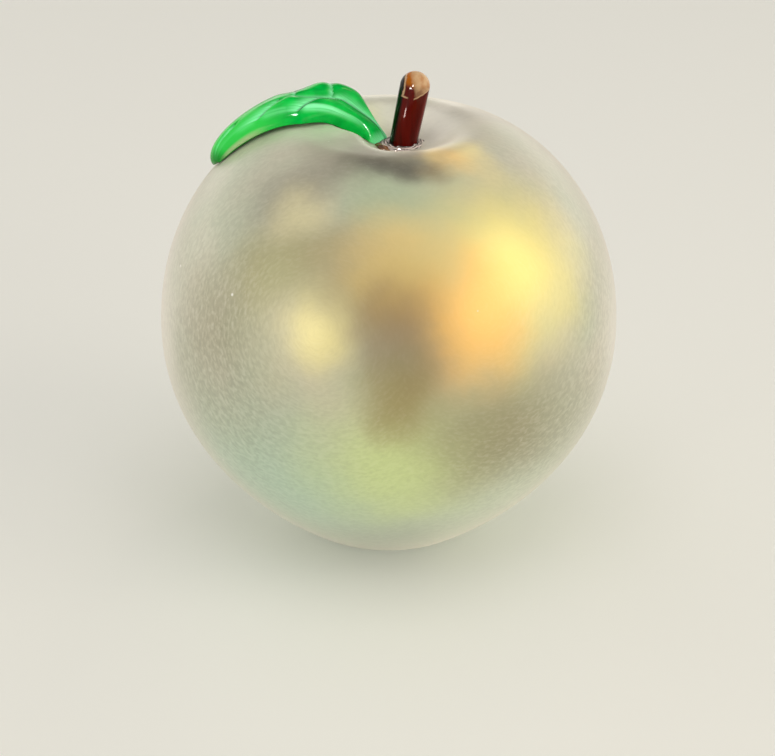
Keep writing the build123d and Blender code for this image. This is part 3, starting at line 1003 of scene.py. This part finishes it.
def greenGlass():
    g = pressed
    material, tree, coords = newMaterial("green opal glass, pressed and fire-polished")
    mark = {name: addNode(tree, "Attribute", {}, attribute_name=name).outputs["Fac"]
            for name in ("paintedShadeLine", "pale", "along", "across")}
    cloud = addNode(tree, "TexNoise", {"Vector": coords, "Scale": 1 / (g["cloud"] * mm), "Detail": 3.0})
    clear = addNode(tree, "MapRange", {
        "Value": cloud, "From Min": g["cloudRange"][0], "From Max": g["cloudRange"][1]})
    # Cords: a noise drawn out along the leaf
    onLeaf = addNode(tree, "CombineXYZ", {"X": mark["along"], "Y": mark["across"]})
    drawn = addNode(tree, "VectorMath", {0: onLeaf, 1: (1 / g["cordLength"], 1 / g["cordWidth"], 1.0)},
                    operation="MULTIPLY")
    cords = addNode(tree, "TexNoise", {"Vector": drawn, "Scale": 1.0, "Detail": 1.0})
    uneven = addNode(tree, "MapRange", {
        "Value": cords, "From Min": g["cordRange"][0], "From Max": g["cordRange"][1],
        "To Min": g["cords"][0], "To Max": g["cords"][1]})
    # Painted highlights along the lobes, joined by the root's lighter end, which is partly painted light
    root = addNode(tree, "MapRange", {
        "Value": mark["along"], "From Min": g["rootTo"], "From Max": 0.0, "To Max": g["rootPale"]}, **smooth)
    pale = addNode(tree, "Math", {0: mark["pale"], 1: root}, operation="MAXIMUM")
    pale = addNode(tree, "Math", {0: pale, 1: uneven}, operation="MULTIPLY", use_clamp=True)
    thin = [addNode(tree, "MapRange", {"Value": mark[name], "From Min": g["oliveFrom"][i],
                                       "From Max": g["oliveTo"][i]}, **smooth)
            for i, name in enumerate(("along", "across"))]
    paintedBodyReflection = addNode(tree, "Math", {0: thin[0], 1: thin[1]}, operation="MULTIPLY")
    # Painted shade down the creases
    paintedShadeLine = addNode(tree, "Math", {0: mark["paintedShadeLine"], 1: g["lineStrength"]}, operation="MULTIPLY")
    tip = addNode(tree, "MapRange", {
        "Value": mark["along"], "From Min": g["tipFrom"], "From Max": g["tipTo"]}, **smooth)
    end = addNode(tree, "MapRange", {"Value": mark["along"], "From Min": g["endFrom"]}, **smooth)
    colour = linear(g["deep"])
    layers = {"green": clear, "tip": tip, "milkyAndHighlight": pale, "paintedBodyReflection": paintedBodyReflection, "end": end, "crease": paintedShadeLine}
    for tone, amount in layers.items():
        colour = addNode(tree, "Mix", {0: amount, 6: colour, 7: linear(g[tone])}, data_type="RGBA").outputs[2]
    shader = addNode(tree, "BsdfPrincipled", {
        "Base Color": colour, "Roughness": g["roughness"], "IOR": glassIor,
        "Specular IOR Level": g["specular"], "Subsurface Weight": g["milk"],
        "Subsurface Radius": g["milkRadius"], "Subsurface Scale": g["milkDepth"] * mm})
    addNode(tree, "OutputMaterial", {"Surface": shader})
    return material


blade = makeLeaf()
place(blade, greenGlass(), "glass_leaf")
drop = makeBead()
place(drop, amberCement(), "leaf_cement")

# Floor, light and surroundings
studio = {
    "floor": "#e0dfda",
    "floorSize": 8000.0,
    "floorGlow": 0.2,
    "floorRoughness": (0.6, 0.7),
    "mottle": 30.0,
    # name: where the light comes from, how far away and how wide in metres, power, colour
    "lights": {
        "key_softbox": ((0.81, -0.28, 0.50), 0.8, 0.40, 0.95, "#fff3dc"),
        "right_softbox": ((0.66, -0.67, 0.32), 0.8, 0.28, 0.55, "#fff3dc"),
        "left_softbox": ((-0.58, -0.79, 0.18), 0.8, 0.09, 0.28, "#fff6e0"),
        "back_softbox": ((0.20, 0.72, 0.66), 0.8, 0.12, 0.12, "#ffeec8"),
    },
    # soft panels that leave no spot in the gloss
    "panels": {
        "top_panel": ((0.0, -0.30, 0.95), 0.9, 0.70, 1.5, "#ffffff"),
        "left_panel": ((-0.88, 0.46, 0.10), 0.8, 0.50, 0.55, "#fff4ea"),
    },
    # lamps that only the gloss of a few pieces catches, for the sparks on them
    "stemSparks": {
        "low_spark": ((-0.52, -0.83, 0.0), 0.8, 0.22, 18.0, "#fff8ec"),
        "high_spark": ((-0.28, -0.87, 0.38), 0.8, 0.14, 9.0, "#fff8ec"),
        # this one is tiny and sits just off a place on the rod, given last
        "streak": ((-0.62, -0.76, -0.20), 0.009, 0.0018, 0.0005, "#ffe4dc", (2.65, -2.6, 85.9)),
    },
    "leafSparks": {
        "leaf_spark": ((-0.20, -0.42, 0.88), 0.8, 0.22, 30.0, "#f4fff4"),
    },
    # a soft lamp from above on the leaf alone
    "leafFill": ((-0.20, -0.78, 0.58), 0.8, 0.50, 2.2, "#ffffff"),
    "surround": "#f4f2ec",
    "surroundPower": 1.40,
    "ceiling": "#b2b0aa",
    "ceilingRange": (0.1, 0.5),  # upward share of the direction
    "shade": "#24221e",
    # dark parts of the studio: direction, cosine where the shade starts, cosine where it is full
    "darkSides": [((0.0, -0.93, 0.36), 0.70, 0.98), ((0.0, 0.82, 0.57), 0.92, 0.985)],
}


def addLight(name, direction, away, size, power, tint, spot=(0, 0, apple["bellyHeight"])):
    data = bpy.data.lights.new(name, "AREA")
    data.shape = "SQUARE"
    data.size = size
    data.energy = power
    data.color = linear(tint)[:3]
    lamp = bpy.data.objects.new(name, data)
    bpy.context.scene.collection.objects.link(lamp)
    ray = Vector(direction).normalized()
    facing = ray.to_track_quat("Z", "Y").to_matrix().to_4x4()
    lamp.matrix_world = Matrix.Translation(Vector(spot) * mm + ray * away) @ facing
    lamp.visible_camera = False
    return lamp


def makeFloor():
    # Matt pale paint, rolled on: no gloss, so the floor stays plain
    s = studio
    bpy.ops.object.select_all(action="DESELECT")
    bpy.ops.mesh.primitive_plane_add(size=s["floorSize"] * mm, location=(0, 0, 0))
    floor = bpy.context.object
    floor.name = "floor"
    material, tree, coords = newMaterial("matt pale paint, rolled")
    mottle = addNode(tree, "TexNoise", {"Vector": coords, "Scale": 1 / (s["mottle"] * mm), "Detail": 2.0})
    rough = addNode(tree, "MapRange", {
        "Value": mottle, "To Min": s["floorRoughness"][0], "To Max": s["floorRoughness"][1]})
    shader = addNode(tree, "BsdfPrincipled", {
        "Base Color": linear(s["floor"]), "Roughness": rough,
        "Emission Color": linear(s["floor"]), "Emission Strength": s["floorGlow"]})
    addNode(tree, "OutputMaterial", {"Surface": shader})
    floor.data.materials.append(material)


def makeLights():
    s = studio
    for name, settings in s["lights"].items():
        addLight(name, *settings)
    for name, settings in s["panels"].items():
        addLight(name, *settings).visible_glossy = False
    lit = {}
    for group, pieces in (("stemSparks", (rod, ring, drop)), ("leafSparks", (blade,))):
        lit[group] = bpy.data.collections.new(group)
        for piece in pieces:
            lit[group].objects.link(piece)
        for name, settings in s[group].items():
            spark = addLight(name, *settings)
            spark.visible_diffuse = False
            spark.light_linking.receiver_collection = lit[group]
    fill = addLight("leaf_fill", *s["leafFill"])
    fill.visible_glossy = False
    fill.light_linking.receiver_collection = lit["leafSparks"]


def makeSurround():
    s = studio
    world = bpy.data.worlds.new("studio")
    bpy.context.scene.world = world
    world.use_nodes = True
    tree = world.node_tree
    tree.nodes.clear()
    direction = addNode(tree, "TexCoord", {}).outputs["Generated"]
    climb = addNode(tree, "SeparateXYZ", {"Vector": direction}).outputs["Z"]
    above = addNode(tree, "MapRange", {
        "Value": climb, "From Min": s["ceilingRange"][0], "From Max": s["ceilingRange"][1]}, **smooth)
    layers = [(above, "ceiling")]
    for centre, start, full in s["darkSides"]:
        facing = addNode(tree, "VectorMath", {0: direction, 1: centre}, operation="DOT_PRODUCT")
        dark = addNode(tree, "MapRange", {
            "Value": facing.outputs["Value"], "From Min": start, "From Max": full}, **smooth)
        layers.append((dark, "shade"))
    colour = linear(s["surround"])
    for amount, tone in layers:
        colour = addNode(tree, "Mix", {0: amount, 6: colour, 7: linear(s[tone])}, data_type="RGBA").outputs[2]
    shine = addNode(tree, "Background", {"Color": colour, "Strength": s["surroundPower"]})
    addNode(tree, "OutputWorld", {"Surface": shine})
    bpy.context.scene.view_settings.view_transform = "Standard"


makeFloor()
makeLights()
makeSurround()
print("studio set")
